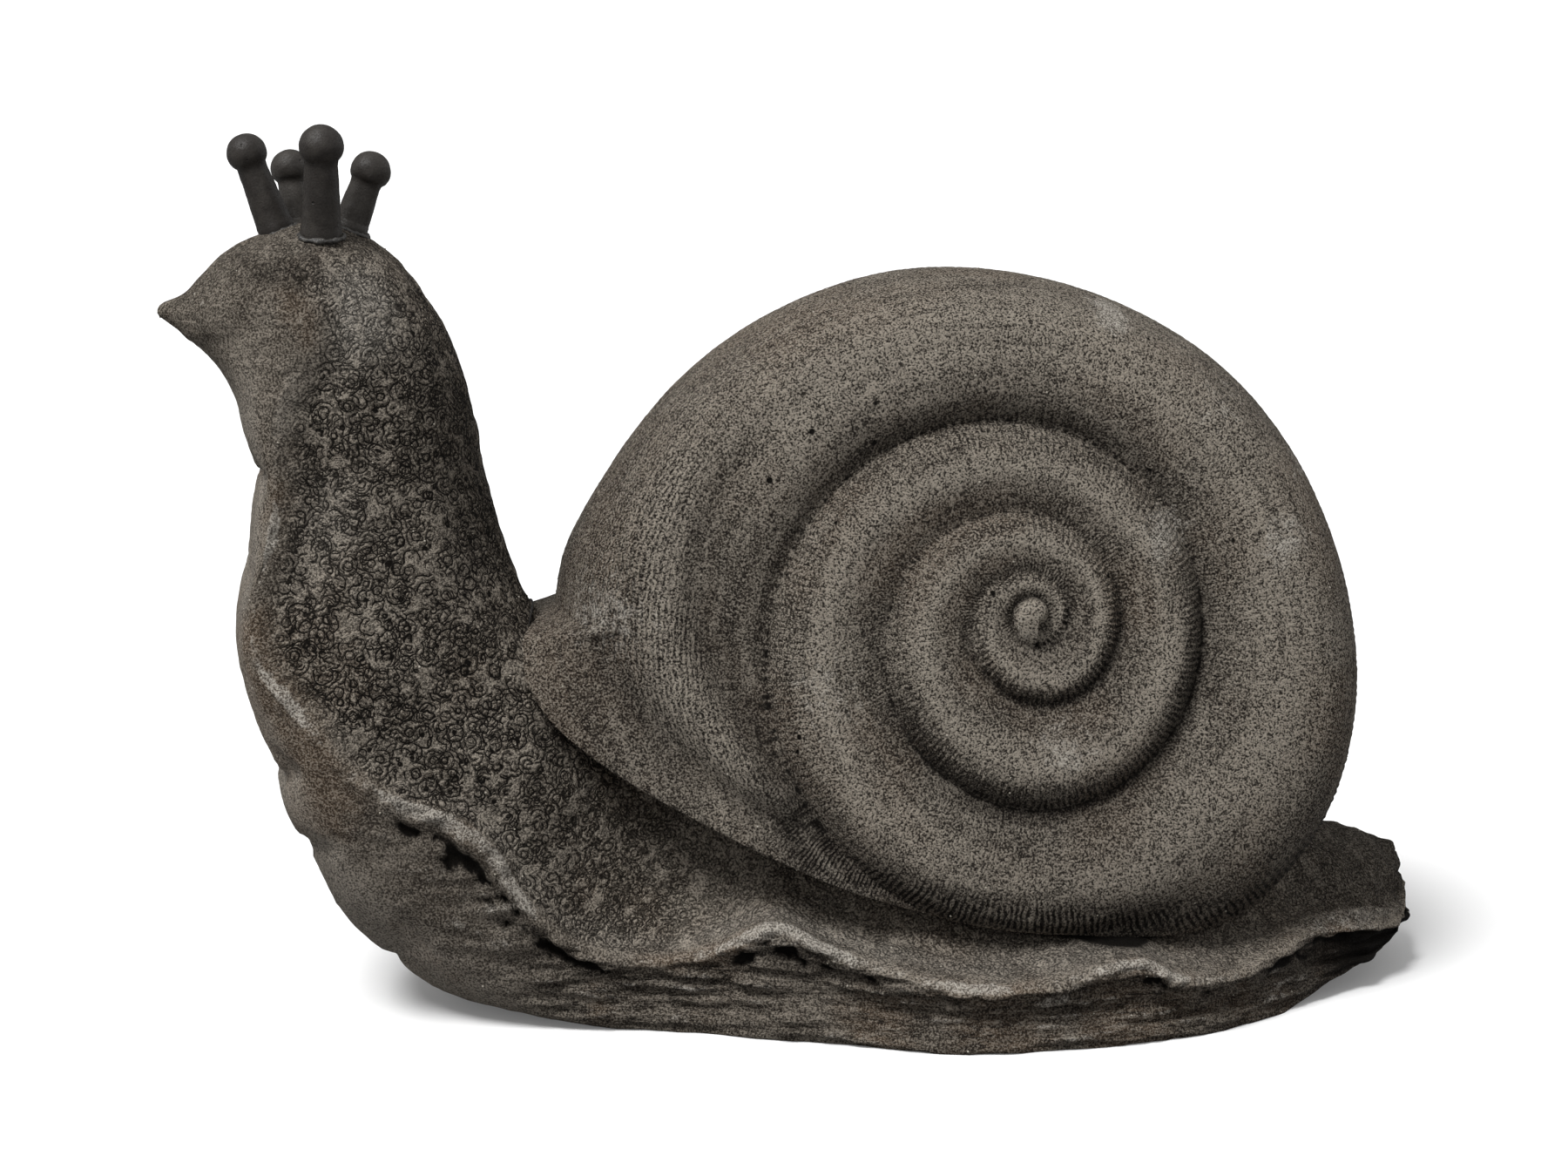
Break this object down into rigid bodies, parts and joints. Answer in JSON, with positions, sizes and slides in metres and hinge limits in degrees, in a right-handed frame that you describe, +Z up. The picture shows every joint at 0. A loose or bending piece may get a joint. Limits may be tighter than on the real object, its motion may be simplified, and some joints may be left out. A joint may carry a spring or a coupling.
{
  "type": "snail figurine",
  "caption": "Garden snail figurine of dark cast stone with a raised head, ball-tipped feelers and a spiral shell, solid, for a shelf or a garden bed.",
  "frame": {"origin": "centre of the bounding box at floor level, under the middle of the foot", "axes": "+X along the length towards the tail, the head looks towards -X; +Y across, towards the side away from the viewer of the picture; +Z up"},
  "size_m": [0.401, 0.1734, 0.2775],
  "materials": {
    "body_stone": "rough, dark patina with lighter crests",
    "shell_stone": "rough, dark patina with lighter crests",
    "mortar": "rough",
    "feeler_stone": "smooth, slight satin",
    "glue": "satin",
    "steel": "plain"
  },
  "bodies": {
    "root": {"body": "body_stone", "shell": "shell_stone", "mortar_bed": "mortar", "feeler_front": "feeler_stone", "feeler_near": "feeler_stone", "feeler_far": "feeler_stone", "feeler_rear": "feeler_stone", "feeler_front_glue": "glue", "feeler_near_glue": "glue", "feeler_far_glue": "glue", "feeler_rear_glue": "glue", "feeler_front_pin": "steel", "feeler_near_pin": "steel", "feeler_far_pin": "steel", "feeler_rear_pin": "steel", "neck_bar": "steel", "shell_dowel_1": "steel", "shell_dowel_2": "steel"}
  },
  "joints": []
}
